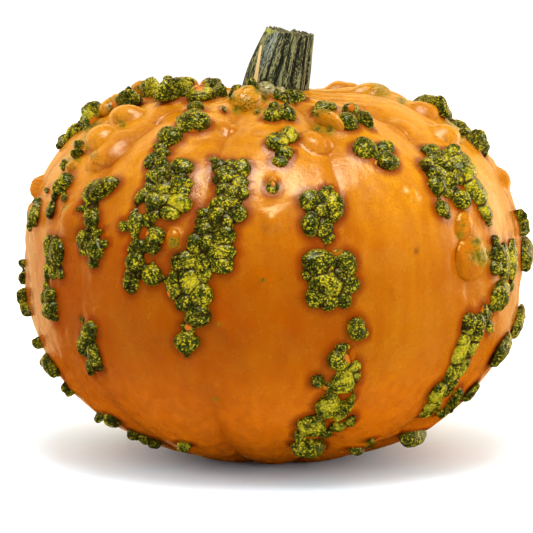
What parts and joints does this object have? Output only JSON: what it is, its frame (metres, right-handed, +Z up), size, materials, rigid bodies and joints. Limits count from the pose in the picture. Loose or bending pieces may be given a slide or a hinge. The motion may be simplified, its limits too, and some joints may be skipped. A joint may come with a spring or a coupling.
{
  "type": "winter squash",
  "caption": "Squat ribbed orange winter squash with strings of green warts down its rind and a cut ribbed stem, resting on a small flat foot.",
  "frame": {"origin": "middle of the flat foot that the squash rests on, under the middle of its box", "axes": "+Z up through the stem, -Y out of the front, +X to the right as seen from the front"},
  "size_m": [0.2831, 0.2812, 0.2352],
  "materials": {
    "rind": "satin waxy orange rind with rough mottled green warts",
    "stem": "dry ribbed dark green stalk with a torn, pale cut"
  },
  "bodies": {
    "root": {"fruit": "rind", "stem": "stem"}
  },
  "joints": []
}
